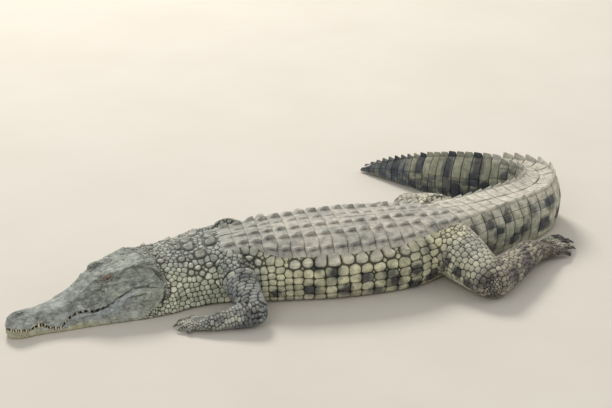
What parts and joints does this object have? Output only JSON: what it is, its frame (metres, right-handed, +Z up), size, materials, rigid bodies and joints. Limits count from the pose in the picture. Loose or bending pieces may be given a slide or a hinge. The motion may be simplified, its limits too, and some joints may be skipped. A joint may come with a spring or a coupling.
{
  "type": "life-size model of a basking crocodile",
  "caption": "Life-size Nile crocodile lying on its belly with its head forward, legs drawn up beside it and its tail curled back towards its flank.",
  "frame": {"origin": "On the floor, under the centre of the whole animal's box seen from above.", "axes": "+Z up from the floor. The head points mostly towards -X, and the animal's left side faces -Y. The tail leaves towards +X and curls round towards +Y."},
  "size_m": [1.9158, 1.152, 0.2129],
  "materials": {
    "body_hide": "dry scaly hide, dusty beige-grey back and olive flanks with slate blotches",
    "head_hide": "dry, finely pitted grey-olive hide with a blue-grey lower jaw",
    "limb_hide": "dry scaly hide, dark grey with paler bars",
    "eye": "glossy dark amber-brown eye with an upright slit",
    "tooth": "ivory tooth enamel, a little stained",
    "claw": "dark worn horn"
  },
  "bodies": {
    "root": {"head": "head_hide", "lower_jaw": "head_hide", "eye_left": "eye", "eye_right": "eye", "neck": "body_hide", "trunk_front": "body_hide", "trunk_middle": "body_hide", "trunk_rear": "body_hide", "tail_1": "body_hide", "tail_2": "body_hide", "tail_3": "body_hide", "tail_4": "body_hide", "tail_5": "body_hide", "tail_6": "body_hide", "upper_arm_left": "limb_hide", "upper_arm_right": "limb_hide", "forearm_left": "limb_hide", "forearm_right": "limb_hide", "hand_left": "limb_hide", "hand_right": "limb_hide", "thigh_left": "limb_hide", "thigh_right": "limb_hide", "shank_left": "limb_hide", "shank_right": "limb_hide", "foot_left": "limb_hide", "foot_right": "limb_hide"}
  },
  "joints": []
}
